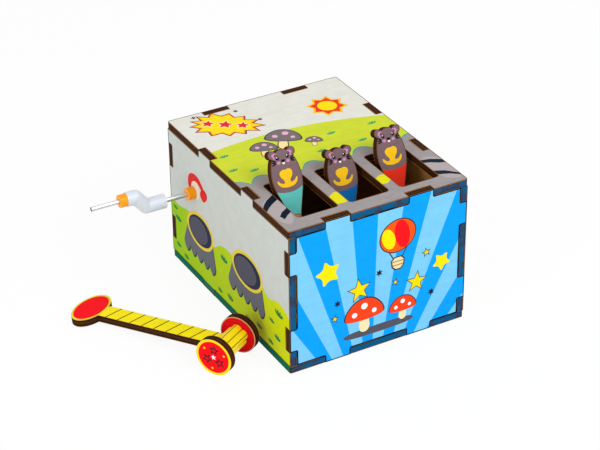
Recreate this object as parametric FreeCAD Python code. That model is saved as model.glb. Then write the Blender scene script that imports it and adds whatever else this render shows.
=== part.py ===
import FreeCAD, Part
import math
import os

V = FreeCAD.Vector

# Hand-cranked pop-up mole toy: a finger-jointed plywood box, three moles on rocking levers,
# a cranked camshaft that lifts them, and a loose mallet lying beside the box.
# Millimetres. Origin at the centre of the box's underside, +X to the right, +Y to the back, +Z up.

# Sheet and box
sheet = 4.0
box_width = 102.0
box_depth = 130.0
box_height = 82.0
joint_gap = 0.05
corner_radius = 1.0
end_tab_centre = 23.75
end_tab_width = 14.5
side_tab_centre = 23.0
side_tab_width = 13.0
upright_tab_centre = 22.0
upright_tab_width = 13.0

# Slots in the lid
slot_side_margin = 10.8
slot_bar = 6.6
slot_length = 36.2
slot_front_margin = 9.5
slot_corner_radius = 2.0

# Rods and bushes
rod_diameter = 2.5
running_gap = 0.08
side_play = 0.3
bush_diameter = 6.8
bush_length = 3.8

# Camshaft and crank
shaft_before_pivot = 17.0
shaft_below_levers = 12.7
base_radius = 6.0
lobe_offset = 9.3
lobe_tip_radius = 2.0
lobe_angles = (167.0, 287.0, 47.0)
crank_offset = 7.0
sleeve_diameter = 7.8
sleeve_start = 17.0
sleeve_lower_run = 10.5
sleeve_slant_run = 6.0
sleeve_upper_run = 5.0
sleeve_socket_depth = 7.0
handle_rod_stop = 1.0
handle_tip_run = 15.5
shaft_tail = 1.5

# Levers, whose droop is how far the front tips down and whose shift is how far they slide left
pivot_from_back = 11.0
lid_over_levers = 3.3
lever_depth = 9.0
lever_droop = (-2.1, 3.0, 0.6)
lever_shift = (2.0, 0.0, 0.0)
pivot_block_width = 14.0
pivot_block_height = 15.0
spacer_diameter = 6.0

# Moles
mole_side_gap = 2.95
mole_head_height = 14.4
mole_flank_radius = 22.0
mole_taper_angle = 19.0
mole_foot_half_width = 2.9
mole_foot_below_middle = 21.5
mole_notch_below_middle = 19.0
mole_seat_below_middle = 16.6
mole_seat_behind_slot_front = 19.8
mole_lean = 25.3
ear_radius = 2.2
ear_spread = 5.3
ear_height = 12.3

# Mallet
disc_radius = 10.2
grip_half_length = 8.5
grip_half_width = 13.4
mallet_reach = 84.0
head_length = 26.8
handle_width = 10.0
barrel_lobes = 5
barrel_lobe_radius = 2.8
barrel_lobe_centre = 3.2
handle_in_barrel = 3.0
mallet_from_side = 21.3
mallet_from_front = 25.5
mallet_bearing = -59.8

# Worked-out places
half_width = box_width / 2
half_depth = box_depth / 2
lid_underside = box_height - sheet
wall_inside = half_width - sheet
rod_radius = rod_diameter / 2
pivot_y = half_depth - pivot_from_back
pivot_z = lid_underside - lid_over_levers - lever_depth / 2
shaft_y = pivot_y - shaft_before_pivot
shaft_height = pivot_z - lever_depth / 2 - shaft_below_levers
slot_width = (box_width - 2 * slot_side_margin - 2 * slot_bar) / 3
slot_pitch = slot_width + slot_bar
slot_front = -half_depth + slot_front_margin
slot_x = (-slot_pitch, 0.0, slot_pitch)
lever_x = [x - shift for x, shift in zip(slot_x, lever_shift)]
mole_half_width = slot_width / 2 - mole_side_gap

os.makedirs("parts", exist_ok=True)


def save(name, shape):
    """Writes one node to its STEP file and prints its size."""
    shape.exportStep(os.path.join("parts", name + ".step"))
    print(name, len(shape.Solids), "solid(s)", round(shape.Volume, 1), "mm3")


def block(x0, x1, y0, y1, z0, z1, grow=0.0):
    """Box between two corners, grown all round by a gap."""
    corner = V(x0 - grow, y0 - grow, z0 - grow)
    return Part.makeBox(x1 - x0 + 2 * grow, y1 - y0 + 2 * grow, z1 - z0 + 2 * grow, corner)


def group(shapes):
    """Several separate solids kept as one node."""
    return Part.makeCompound(shapes)


def rod_along_x(x0, x1, y, z, radius):
    return Part.makeCylinder(radius, x1 - x0, V(x0, y, z), V(1, 0, 0))


def tube_along_x(x0, x1, y, z, outer, inner):
    return rod_along_x(x0, x1, y, z, outer).cut(rod_along_x(x0 - 1, x1 + 1, y, z, inner))


def spans(centre, width):
    """The two mirrored spans of a pair of tabs."""
    return [(s * centre - width / 2, s * centre + width / 2) for s in (-1, 1)]


def end_tabs(y_side, grow=0.0):
    """Tabs of the front or back panel that rise into the lid and drop into the base."""
    y0, y1 = sorted((y_side * half_depth, y_side * (half_depth - sheet)))
    tabs = []
    for z0, z1 in ((0, sheet), (lid_underside, box_height)):
        for x0, x1 in spans(end_tab_centre, end_tab_width):
            tabs.append(block(x0, x1, y0, y1, z0, z1, grow))
    return tabs


def side_tabs(x_side, grow=0.0):
    """Tabs of a side panel that rise into the lid and drop into the base."""
    x0, x1 = sorted((x_side * half_width, x_side * wall_inside))
    tabs = []
    for z0, z1 in ((0, sheet), (lid_underside, box_height)):
        for y0, y1 in spans(side_tab_centre, side_tab_width):
            tabs.append(block(x0, x1, y0, y1, z0, z1, grow))
    return tabs


def upright_tabs(y_side, grow=0.0):
    """Tabs of the front or back panel that reach through the side panels' upright edges."""
    y0, y1 = sorted((y_side * half_depth, y_side * (half_depth - sheet)))
    middle = box_height / 2
    tabs = []
    for x_side in (-1, 1):
        x0, x1 = sorted((x_side * half_width, x_side * wall_inside))
        for z0, z1 in spans(upright_tab_centre, upright_tab_width):
            tabs.append(block(x0, x1, y0, y1, middle + z0, middle + z1, grow))
    return tabs


def rounded_block(x0, x1, y0, y1, z0, z1, radius):
    """Box whose four upright edges are rounded."""
    solid = block(x0, x1, y0, y1, z0, z1)
    upright = [e for e in solid.Edges if abs(e.tangentAt(e.FirstParameter).z) > 0.9]
    return solid.makeFillet(radius, upright)


# Box
def horizontal_panel(z0):
    """Lid or base blank, notched for every tab that comes through it."""
    panel = rounded_block(
        -half_width, half_width, -half_depth, half_depth, z0, z0 + sheet, corner_radius
    )
    notches = []
    for side in (-1, 1):
        notches += end_tabs(side, joint_gap) + side_tabs(side, joint_gap)
    return panel.cut(notches)


def lid():
    """Lid with one rounded slot over each mole."""
    slots = []
    for x in slot_x:
        slots.append(
            rounded_block(
                x - slot_width / 2,
                x + slot_width / 2,
                slot_front,
                slot_front + slot_length,
                lid_underside - 1,
                box_height + 1,
                slot_corner_radius,
            )
        )
    return horizontal_panel(lid_underside).cut(slots)


def end_panel(y_side):
    """Front or back panel with its tabs."""
    y0, y1 = sorted((y_side * half_depth, y_side * (half_depth - sheet)))
    core = block(-wall_inside, wall_inside, y0, y1, sheet, lid_underside)
    return core.fuse(end_tabs(y_side) + upright_tabs(y_side)).removeSplitter()


def side_panel(x_side):
    """Side panel, notched for the end panels' tabs and bored for the camshaft."""
    x0, x1 = sorted((x_side * half_width, x_side * wall_inside))
    core = block(x0, x1, -half_depth, half_depth, sheet, lid_underside)
    core = core.cut(upright_tabs(-1, joint_gap) + upright_tabs(1, joint_gap))
    panel = core.fuse(side_tabs(x_side)).removeSplitter()
    bore = rod_along_x(x0 - 1, x1 + 1, shaft_y, shaft_height, rod_radius + running_gap)
    return panel.cut(bore)


save("lid", lid())
save("base", horizontal_panel(0.0))
save("front_panel", end_panel(-1))
save("back_panel", end_panel(1))
save("left_panel", side_panel(-1))
save("right_panel", side_panel(1))


# Lever pivot: a rod held in a block glued inside each side panel, with spacer tubes between levers
def pivot_block(x_side):
    x0, x1 = sorted((x_side * wall_inside, x_side * (wall_inside - sheet)))
    solid = block(
        x0,
        x1,
        half_depth - sheet - pivot_block_width,
        half_depth - sheet,
        lid_underside - pivot_block_height,
        lid_underside,
    )
    return solid.cut(rod_along_x(x0 - 1, x1 + 1, pivot_y, pivot_z, rod_radius + joint_gap))


def pivot_spacers():
    """Four tubes that keep the levers in their lanes."""
    inner_wall = wall_inside - sheet
    stops = [-inner_wall] + [x + s * (sheet / 2 + side_play) for x in lever_x for s in (-1, 1)]
    stops += [inner_wall]
    tubes = []
    for start, end in zip(stops[0::2], stops[1::2]):
        tubes.append(
            tube_along_x(
                start, end, pivot_y, pivot_z, spacer_diameter / 2, rod_radius + joint_gap
            )
        )
    return group(tubes)


save("pivot_block_left", pivot_block(-1))
save("pivot_block_right", pivot_block(1))
save("pivot_rod", rod_along_x(-wall_inside, wall_inside, pivot_y, pivot_z, rod_radius))
save("pivot_spacers", pivot_spacers())


# Moles and levers are drawn with the lever level, pointing to the front, then tipped about the pivot
def seat_point():
    """Where the mole's front face crosses the lever's centre line."""
    return V(0, slot_front + mole_seat_behind_slot_front, pivot_z)


def mole_axes():
    """Directions up the mole and out of its front face."""
    lean = math.radians(mole_lean)
    return V(0, math.sin(lean), math.cos(lean)), V(0, -math.cos(lean), math.sin(lean))


def mole_spot(u, v, back=0.0):
    """A point on the mole: u across, v up from its widest line, back behind its front face."""
    up, out = mole_axes()
    return seat_point() + V(u, 0, 0) + up * (v + mole_seat_below_middle) - out * back


def mole_slab(u0, u1, v0, v1, back0, back1):
    """Box in the mole's own directions."""
    corners = [mole_spot(u0, v0, back0), mole_spot(u1, v0, back0)]
    corners += [mole_spot(u1, v1, back0), mole_spot(u0, v1, back0)]
    face = Part.Face(Part.makePolygon(corners + corners[:1]))
    return face.extrude(mole_axes()[1] * (back0 - back1))


def mole():
    """Egg-shaped head and body with two round ears, tapering to a foot that straddles the lever."""
    up, out = mole_axes()
    taper = math.radians(mole_taper_angle)
    flank_drop = mole_flank_radius * math.sin(taper)
    flank_in = mole_half_width - mole_flank_radius * (1 - math.cos(taper))
    foot_start = flank_drop + (flank_in - mole_foot_half_width) / math.tan(taper)
    mid_in = mole_half_width - mole_flank_radius * (1 - math.cos(taper / 2))
    mid_drop = mole_flank_radius * math.sin(taper / 2)
    head = Part.Ellipse(mole_spot(0, mole_head_height), mole_spot(mole_half_width, 0), mole_spot(0, 0))
    edges = []
    half = Part.Arc(head, -math.pi / 2, math.pi / 2).toShape()
    ends = [half.Vertexes[0].Point, half.Vertexes[-1].Point]
    edges.append(half)
    for s, start in ((1, max(ends, key=lambda p: p.x)), (-1, min(ends, key=lambda p: p.x))):
        middle = mole_spot(s * mid_in, -mid_drop)
        low = mole_spot(s * flank_in, -flank_drop)
        knee = mole_spot(s * mole_foot_half_width, -foot_start)
        toe = mole_spot(s * mole_foot_half_width, -mole_foot_below_middle)
        edges.append(Part.Arc(start, middle, low).toShape())
        edges.append(Part.makeLine(low, knee))
        edges.append(Part.makeLine(knee, toe))
    toe_left = mole_spot(-mole_foot_half_width, -mole_foot_below_middle)
    toe_right = mole_spot(mole_foot_half_width, -mole_foot_below_middle)
    edges.append(Part.makeLine(toe_left, toe_right))
    outline = Part.Wire(Part.__sortEdges__(edges))
    body = Part.Face(outline).extrude(out * -sheet)
    ears = []
    for s in (-1, 1):
        centre = mole_spot(s * ear_spread, ear_height)
        ears.append(Part.makeCylinder(ear_radius, sheet, centre, out * -1))
    straddle = mole_slab(
        -sheet / 2 - joint_gap,
        sheet / 2 + joint_gap,
        -mole_foot_below_middle - 1,
        -mole_notch_below_middle,
        -1,
        sheet + 1,
    )
    return body.fuse(ears).cut(straddle).removeSplitter()


def lever():
    """Straight beam with a round hub; its slanted end meets the mole's back, its tongue the notch."""
    half_depth = lever_depth / 2
    front_y = seat_point().y - lever_depth
    hub_top = V(0, pivot_y, pivot_z + half_depth)
    hub_low = V(0, pivot_y, pivot_z - half_depth)
    front_top = V(0, front_y, hub_top.z)
    front_low = V(0, front_y, hub_low.z)
    outline = Part.Wire(
        [
            Part.makeLine(hub_top, front_top),
            Part.makeLine(front_top, front_low),
            Part.makeLine(front_low, hub_low),
            Part.Arc(hub_low, V(0, pivot_y + half_depth, pivot_z), hub_top).toShape(),
        ]
    )
    beam = Part.Face(outline).extrude(V(sheet, 0, 0)).translated(V(-sheet / 2, 0, 0))
    reach = 3 * lever_depth
    above_tongue = mole_slab(
        -sheet, sheet, -mole_notch_below_middle - joint_gap, reach, -reach, sheet + joint_gap
    )
    past_front = mole_slab(-sheet, sheet, -reach, reach, -reach, 0)
    bore = rod_along_x(-sheet, sheet, pivot_y, pivot_z, rod_radius + running_gap)
    return beam.cut([above_tongue, past_front, bore])


def tipped(shape, lane):
    """Moves a level lever piece to its place on the rod and tips it about the pivot."""
    placed = shape.translated(V(lever_x[lane], 0, 0))
    placed.rotate(V(0, pivot_y, pivot_z), V(1, 0, 0), lever_droop[lane])
    return placed


for lane in range(3):
    save("lever_%d" % (lane + 1), tipped(lever(), lane))
    save("mole_%d" % (lane + 1), tipped(mole(), lane))


# Camshaft
def cam(lane):
    """Teardrop cam: a base circle and a small tip circle joined by their tangents."""
    angle = math.radians(lobe_angles[lane])
    side = math.acos((base_radius - lobe_tip_radius) / lobe_offset)
    middle = V(0, shaft_y, shaft_height)
    tip = middle + V(0, math.cos(angle), math.sin(angle)) * lobe_offset

    def on_circle(centre, radius, turn):
        return centre + V(0, math.cos(angle + turn), math.sin(angle + turn)) * radius

    outline = Part.Wire(
        [
            Part.Arc(
                on_circle(middle, base_radius, side),
                on_circle(middle, base_radius, math.pi),
                on_circle(middle, base_radius, -side),
            ).toShape(),
            Part.makeLine(
                on_circle(middle, base_radius, -side), on_circle(tip, lobe_tip_radius, -side)
            ),
            Part.Arc(
                on_circle(tip, lobe_tip_radius, -side),
                on_circle(tip, lobe_tip_radius, 0),
                on_circle(tip, lobe_tip_radius, side),
            ).toShape(),
            Part.makeLine(
                on_circle(tip, lobe_tip_radius, side), on_circle(middle, base_radius, side)
            ),
        ]
    )
    plate = Part.Face(outline).extrude(V(sheet, 0, 0)).translated(V(lever_x[lane] - sheet / 2, 0, 0))
    bore = rod_along_x(
        lever_x[lane] - sheet, lever_x[lane] + sheet, shaft_y, shaft_height, rod_radius + joint_gap
    )
    return plate.cut(bore)


def bush(x0, z=shaft_height):
    """Plastic bush gripping a rod."""
    return tube_along_x(x0, x0 + bush_length, shaft_y, z, bush_diameter / 2, rod_radius + joint_gap)


sleeve_right = -half_width - sleeve_start
lower_corner = sleeve_right - sleeve_lower_run
upper_corner = lower_corner - sleeve_slant_run
sleeve_left = upper_corner - sleeve_upper_run
handle_z = shaft_height + crank_offset
shaft_left = sleeve_right - sleeve_socket_depth
handle_right = upper_corner - handle_rod_stop
right_bush_x = half_width + side_play
shaft_right = right_bush_x + bush_length + shaft_tail
handle_bush_x = sleeve_left - bush_length - joint_gap
handle_tip = handle_bush_x - handle_tip_run


def crank_sleeve():
    """White plastic Z piece: two sockets and a slanted arm, with a ball rounding each bend."""
    radius = sleeve_diameter / 2
    low = V(lower_corner, shaft_y, shaft_height)
    high = V(upper_corner, shaft_y, handle_z)
    pieces = [rod_along_x(lower_corner, sleeve_right, shaft_y, shaft_height, radius)]
    pieces.append(rod_along_x(sleeve_left, upper_corner, shaft_y, handle_z, radius))
    pieces.append(Part.makeCylinder(radius, (high - low).Length, low, high - low))
    pieces.append(Part.makeSphere(radius, low))
    pieces.append(Part.makeSphere(radius, high))
    body = pieces[0].fuse(pieces[1:]).removeSplitter()
    sockets = [
        rod_along_x(
            shaft_left - joint_gap, sleeve_right + 1, shaft_y, shaft_height, rod_radius + joint_gap
        ),
        rod_along_x(
            sleeve_left - 1, handle_right + joint_gap, shaft_y, handle_z, rod_radius + joint_gap
        ),
    ]
    return body.cut(sockets)


save("camshaft", rod_along_x(shaft_left, shaft_right, shaft_y, shaft_height, rod_radius))
for lane in range(3):
    save("cam_%d" % (lane + 1), cam(lane))
save("cam_hubs", group([bush(x + sheet / 2) for x in lever_x]))
save("left_wall_bush", bush(-half_width - side_play - bush_length))
save("right_wall_bush", bush(right_bush_x))
save("crank_sleeve", crank_sleeve())
save("handle_bush", bush(handle_bush_x, handle_z))
save("handle_rod", rod_along_x(handle_tip, handle_right, shaft_y, handle_z, rod_radius))


# Mallet, drawn with its head centred on the origin, its handle towards -X and its head along Y
def mallet_handle():
    """One sheet piece: an oval grip end and a straight bar whose end sits in the barrel."""
    middle = V(-mallet_reach, 0, -sheet / 2)
    rim = Part.Ellipse(middle + V(0, grip_half_width, 0), middle + V(-grip_half_length, 0, 0), middle)
    grip = Part.Face(Part.Wire(rim.toShape())).extrude(V(0, 0, sheet))
    bar = block(
        -mallet_reach, handle_in_barrel, -handle_width / 2, handle_width / 2, -sheet / 2, sheet / 2
    )
    return grip.fuse(bar).removeSplitter()


def mallet_barrel():
    """Fluted barrel between the two discs, slotted for the handle."""
    length = head_length - 2 * sheet
    lobes = []
    for i in range(barrel_lobes):
        angle = math.pi / 2 + 2 * math.pi * i / barrel_lobes
        x = barrel_lobe_centre * math.cos(angle)
        z = barrel_lobe_centre * math.sin(angle)
        lobes.append(Part.makeCylinder(barrel_lobe_radius, length, V(x, -length / 2, z), V(0, 1, 0)))
    body = lobes[0].fuse(lobes[1:]).removeSplitter()
    slot = block(
        -2 * disc_radius,
        handle_in_barrel,
        -handle_width / 2,
        handle_width / 2,
        -sheet / 2,
        sheet / 2,
        joint_gap,
    )
    return body.cut(slot)


def mallet_disc(y0):
    return Part.makeCylinder(disc_radius, sheet, V(0, y0, 0), V(0, 1, 0))


def laid_down(shape):
    """Lays the mallet on the table: it stands on its two discs and on the rim of its grip."""
    arm = mallet_reach + grip_half_length
    pitch = math.asin(disc_radius / math.hypot(arm, sheet / 2)) - math.atan(sheet / 2 / arm)
    turn = FreeCAD.Rotation(V(0, 0, 1), mallet_bearing)
    turn = turn.multiply(FreeCAD.Rotation(V(0, 1, 0), -math.degrees(pitch)))
    head = V(-half_width - mallet_from_side, -half_depth + mallet_from_front, disc_radius)
    place = FreeCAD.Placement(head, turn)
    return shape.transformed(place.toMatrix())


save("mallet_handle", laid_down(mallet_handle()))
save("mallet_barrel", laid_down(mallet_barrel()))
save("mallet_front_disc", laid_down(mallet_disc(-head_length / 2)))
save("mallet_rear_disc", laid_down(mallet_disc(head_length / 2 - sheet)))
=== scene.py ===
import math

import bpy
import numpy as np
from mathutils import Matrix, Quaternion, Vector


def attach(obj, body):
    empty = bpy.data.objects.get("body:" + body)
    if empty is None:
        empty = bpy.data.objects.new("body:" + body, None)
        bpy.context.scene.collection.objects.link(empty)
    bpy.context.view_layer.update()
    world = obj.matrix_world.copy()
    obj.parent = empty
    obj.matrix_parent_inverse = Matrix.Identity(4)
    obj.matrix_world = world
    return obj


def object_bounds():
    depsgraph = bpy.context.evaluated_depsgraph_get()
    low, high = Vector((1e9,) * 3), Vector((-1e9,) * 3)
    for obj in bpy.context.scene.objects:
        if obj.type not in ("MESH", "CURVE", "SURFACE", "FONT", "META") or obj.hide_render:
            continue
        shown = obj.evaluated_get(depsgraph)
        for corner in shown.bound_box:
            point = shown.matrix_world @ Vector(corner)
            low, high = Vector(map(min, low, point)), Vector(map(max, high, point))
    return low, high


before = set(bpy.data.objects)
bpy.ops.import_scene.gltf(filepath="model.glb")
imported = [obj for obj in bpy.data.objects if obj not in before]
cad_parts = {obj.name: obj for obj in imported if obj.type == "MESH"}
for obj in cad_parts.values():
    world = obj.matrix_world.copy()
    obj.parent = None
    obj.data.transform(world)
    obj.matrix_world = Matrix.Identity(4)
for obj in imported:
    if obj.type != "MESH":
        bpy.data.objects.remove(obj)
cad_low, cad_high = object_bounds()

# Camera
# A long lens looks down on the front left corner of the box, as a catalogue photograph does.
# It stands a metre away, so the box's sides draw together only a little.
lens_mm = 119.7
camera_place = Vector((-0.43963, -0.77499, 0.57356))
camera_aim = Vector((-0.00733, 0.00207, 0.03809))
camera_roll = math.radians(-0.64)
camera = bpy.data.objects.new("camera", bpy.data.cameras.new("camera"))
camera.data.lens = lens_mm
camera.data.sensor_width = 36.0
camera.location = camera_place
camera.rotation_mode = "QUATERNION"
looking = (camera_aim - camera_place).to_track_quat("-Z", "Y")
camera.rotation_quaternion = looking @ Quaternion((0, 0, 1), camera_roll)
bpy.context.scene.collection.objects.link(camera)
bpy.context.scene.camera = camera


# Studio
# The toy stands on a white sweep under a broad soft light, with a weaker one from the crank side.
# The sweep and the room read as white to the camera and in the polished rods.
def linear(hex_colour):
    """sRGB hex to linear RGBA: c/12.92 up to 0.04045, and ((c+0.055)/1.055)^2.4 above it."""
    c = np.array([int(hex_colour[i:i + 2], 16) for i in (0, 2, 4)]) / 255
    c = np.where(c <= 0.04045, c / 12.92, ((c + 0.055) / 1.055) ** 2.4)
    return (*c.tolist(), 1.0)


def add(tree, kind, settings=None, inputs=None):
    """Adds one node, sets its properties, and fills its sockets with values or links. Settings that
    are one word are its operation. A node among the inputs is linked by its first output in use."""
    node = tree.nodes.new(kind)
    if isinstance(settings, str):
        settings = {"operation": settings}
    for name, value in (settings or {}).items():
        setattr(node, name, value)
    for name, value in (inputs or {}).items():
        if isinstance(value, bpy.types.Node):
            value = next(output for output in value.outputs if output.enabled)
        if isinstance(value, bpy.types.NodeSocket):
            tree.links.new(value, node.inputs[name])
        else:
            node.inputs[name].default_value = value
    return node


def seen_directly(tree):
    """1 for rays from the camera, off polished metal and through clear things, else 0."""
    path = add(tree, "ShaderNodeLightPath")
    either = add(
        tree,
        "ShaderNodeMath",
        "MAXIMUM",
        {0: path.outputs["Is Camera Ray"], 1: path.outputs["Is Glossy Ray"]},
    )
    return add(tree, "ShaderNodeMath", "MAXIMUM", {0: either, 1: path.outputs["Is Transmission Ray"]})


def soft_lamp(name, place, size, watts):
    """A square area lamp that faces the middle of the box."""
    lamp = bpy.data.objects.new(name, bpy.data.lights.new(name, "AREA"))
    lamp.data.size = size
    lamp.data.energy = watts
    lamp.location = place
    middle = (cad_low + cad_high) / 2
    lamp.rotation_euler = (middle - Vector(place)).to_track_quat("-Z", "Y").to_euler()
    bpy.context.scene.collection.objects.link(lamp)


world = bpy.data.worlds.new("white room")
world.use_nodes = True
room = world.node_tree
room.nodes.clear()
room_strength = 0.62
strength = add(
    room, "ShaderNodeMapRange", None, {"Value": seen_directly(room), "To Min": room_strength, "To Max": 1.0}
)
background = add(room, "ShaderNodeBackground", None, {"Strength": strength})
background.inputs["Color"].default_value = (1, 1, 1, 1)
add(room, "ShaderNodeOutputWorld", None, {"Surface": background})
bpy.context.scene.world = world
bpy.context.scene.view_settings.view_transform = "Standard"

soft_lamp("front key", (0.35, -0.95, 1.10), 0.8, 9.5)
soft_lamp("crank side fill", (-1.25, -0.35, 0.55), 0.9, 5.5)

sweep_half = 3.0
sweep_drop = 0.0001
sweep_mesh = bpy.data.meshes.new("white sweep")
corner = np.array([(-1, -1), (1, -1), (1, 1), (-1, 1)]) * sweep_half
sweep_mesh.from_pydata([(x, y, -sweep_drop) for x, y in corner], [], [(0, 1, 2, 3)])
sweep = bpy.data.objects.new("white_sweep", sweep_mesh)
bpy.context.scene.collection.objects.link(sweep)

# Matt white paper: it takes the toy's soft shadow, and is lifted to white where it is seen.
paper_lift = 0.92
paper = bpy.data.materials.new("white paper sweep")
paper.use_nodes = True
tree = paper.node_tree
tree.nodes.clear()
matt = add(tree, "ShaderNodeBsdfDiffuse", None, {"Color": linear("fafafa")})
glow = add(tree, "ShaderNodeEmission", None, {"Strength": 1.0})
lift = add(tree, "ShaderNodeMath", "MULTIPLY", {0: seen_directly(tree), 1: paper_lift})
both = add(tree, "ShaderNodeMixShader", None, {0: lift, 1: matt, 2: glow})
add(tree, "ShaderNodeOutputMaterial", None, {"Surface": both})
sweep_mesh.materials.append(paper)

# Lid
# The lid is 4 mm birch plywood, printed on top and cut by laser, which browns every edge.
# Its notches take the tabs of the four walls, and each mole comes up through a rounded slot.
MM = 0.001
sheet = 4.0
half_width = 51.0
half_depth = 65.0
lid_top = 82.0

# Settings of a Mix node, which takes its share at 0 and colours at 6 and 7, and gives output 2
blend = {"data_type": "RGBA"}
shade_by = {"data_type": "RGBA", "blend_type": "MULTIPLY"}


def new_material(name):
    """A material, its node tree and its Principled shader."""
    material = bpy.data.materials.new(name)
    material.use_nodes = True
    return material, material.node_tree, material.node_tree.nodes["Principled BSDF"]


# The default inner colour is birch darkened as painted shade for the dark inside of the box.
def plywood(name, outward, outer, paint, tints=(), inner="86683f", place=None, gloss=0.5):
    """Printed laser-cut plywood. The face that looks along outward has the print, the one behind it is bare
    veneer of colour inner, and the cut edges show burnt layers by their depth behind the print. inner's
    default is birch darkened to deep brown, painted shade for the dark inside of the box.
    outer is the print's distance from the origin along outward, in mm. A tint is (direction,
    reach, colour, worn): stain on the edges that face that way and lie that far out, in mm, worn
    to the scorched rims and in patches where worn is 1, and even where it is 0."""
    square_on, reach_slack = 0.9, 0.3
    rim, rim_soft, charred_from, charred_to = 0.12, 0.05, 0.87, 0.92
    material, tree, shader = new_material(name)
    where = add(tree, "ShaderNodeTexCoord")
    flat = add(
        tree,
        "ShaderNodeMapping",
        {"vector_type": "TEXTURE"},
        {"Vector": where.outputs["Object"], "Scale": (MM, MM, MM)},
    )
    if place:
        flat.inputs["Location"].default_value = place[0]
        flat.inputs["Rotation"].default_value = place[1]
    facing = add(tree, "ShaderNodeVectorMath", "DOT_PRODUCT", {0: where.outputs["Normal"], 1: outward})
    along = add(tree, "ShaderNodeVectorMath", "DOT_PRODUCT", {0: where.outputs["Object"], 1: outward})
    depth = add(
        tree,
        "ShaderNodeMapRange",
        None,
        {"Value": along, "From Min": outer * MM, "From Max": (outer - sheet) * MM},
    )

    # Wood grain: streaks under print and on bare veneer alike, drawn 0.8 mm wide so that they show
    grain_way = add(tree, "ShaderNodeMapping", None, {"Vector": flat, "Scale": (0.06, 1.3, 1.3)})
    grain = add(
        tree,
        "ShaderNodeTexNoise",
        None,
        {"Vector": grain_way, "Scale": 1.0, "Detail": 4.0, "Roughness": 0.6},
    )
    mottle = add(tree, "ShaderNodeTexNoise", None, {"Vector": flat, "Scale": 0.16, "Detail": 3.0})

    # Cut edge: an orange scorched rim, charred cores and a lighter middle veneer
    burnt = add(tree, "ShaderNodeValToRGB", None, {0: depth})
    layers = (
        (0.0, "c98430"), (0.07, "5c3216"), (0.13, "170c0a"), (0.24, "21120e"), (0.36, "4c2b15"),
        (0.50, "371f12"), (0.61, "482914"), (0.74, "1e100c"), (0.85, "170c0a"), (0.92, "6a3f18"),
        (1.0, "c58a38"),
    )
    ramp = burnt.color_ramp
    for spot, colour in layers[1:-1]:
        ramp.elements.new(spot)
    for element, (spot, colour) in zip(ramp.elements, layers):
        element.position = spot
        element.color = linear(colour)
    char = add(tree, "ShaderNodeTexNoise", None, {"Vector": flat, "Scale": 0.9, "Detail": 3.0})
    char_shade = add(tree, "ShaderNodeMapRange", None, {"Value": char, "To Min": 0.45, "To Max": 1.7})
    edge = add(tree, "ShaderNodeMix", shade_by, {0: 1.0, 6: burnt, 7: char_shade})
    for direction, reach, colour, worn in tints:
        onto = add(tree, "ShaderNodeVectorMath", "DOT_PRODUCT", {0: where.outputs["Normal"], 1: direction})
        faces_out = add(tree, "ShaderNodeMath", "GREATER_THAN", {0: onto, 1: square_on})
        far = add(tree, "ShaderNodeVectorMath", "DOT_PRODUCT", {0: where.outputs["Object"], 1: direction})
        far_out = add(tree, "ShaderNodeMath", "GREATER_THAN", {0: far, 1: (reach - reach_slack) * MM})
        tinted = add(tree, "ShaderNodeMath", "MULTIPLY", {0: faces_out, 1: far_out})
        inside = add(
            tree,
            "ShaderNodeMapRange",
            None,
            {"Value": depth, "From Min": rim * worn - rim_soft, "From Max": rim * worn},
        )
        charred = add(
            tree,
            "ShaderNodeMapRange",
            None,
            {"Value": depth, "From Min": charred_from, "From Max": charred_to},
        )
        stain = add(
            tree,
            "ShaderNodeMix",
            blend,
            {0: charred, 6: linear(colour), 7: linear("160d0b" if worn else colour)},
        )
        amount = add(tree, "ShaderNodeMath", "MULTIPLY", {0: tinted, 1: inside})
        patchy = add(
            tree,
            "ShaderNodeMapRange",
            None,
            {"Value": mottle, "From Min": 0.4, "From Max": 0.56, "To Min": 1 - 0.6 * worn, "To Max": 1.0},
        )
        amount = add(tree, "ShaderNodeMath", "MULTIPLY", {0: amount, 1: patchy})
        edge = add(tree, "ShaderNodeMix", blend, {0: amount, 6: edge, 7: stain})

    # Print and bare face, each shaded by the grain
    printed = paint(tree, flat)
    front = add(tree, "ShaderNodeMath", "GREATER_THAN", {0: facing, 1: square_on})
    behind = add(tree, "ShaderNodeMath", "LESS_THAN", {0: facing, 1: -square_on})
    streaky = add(
        tree,
        "ShaderNodeMapRange",
        None,
        {"Value": grain, "From Min": 0.3, "From Max": 0.7, "To Min": 0.93, "To Max": 1.03},
    )
    cloudy = add(
        tree,
        "ShaderNodeMapRange",
        None,
        {"Value": mottle, "From Min": 0.35, "From Max": 0.65, "To Min": 0.97, "To Max": 1.02},
    )
    print_shade = add(tree, "ShaderNodeMath", "MULTIPLY", {0: streaky, 1: cloudy})
    film = add(tree, "ShaderNodeMix", shade_by, {0: 1.0, 6: printed, 7: print_shade})
    bare_shade = add(
        tree,
        "ShaderNodeMapRange",
        None,
        {"Value": grain, "From Min": 0.3, "From Max": 0.7, "To Min": 0.72, "To Max": 1.08},
    )
    bare = add(tree, "ShaderNodeMix", shade_by, {0: 1.0, 6: linear(inner), 7: bare_shade})
    colour = add(tree, "ShaderNodeMix", blend, {0: behind, 6: edge, 7: bare})
    colour = add(tree, "ShaderNodeMix", blend, {0: front, 6: colour, 7: film})
    tree.links.new(colour.outputs[2], shader.inputs["Base Color"])

    rough = add(tree, "ShaderNodeMapRange", None, {"Value": front, "To Min": 0.75, "To Max": gloss})
    tree.links.new(rough.outputs[0], shader.inputs["Roughness"])
    shader.inputs["Specular IOR Level"].default_value = 0.05
    bump = add(tree, "ShaderNodeBump", None, {"Height": grain, "Strength": 0.25, "Distance": 0.00008})
    tree.links.new(bump.outputs[0], shader.inputs["Normal"])
    return material


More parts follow.
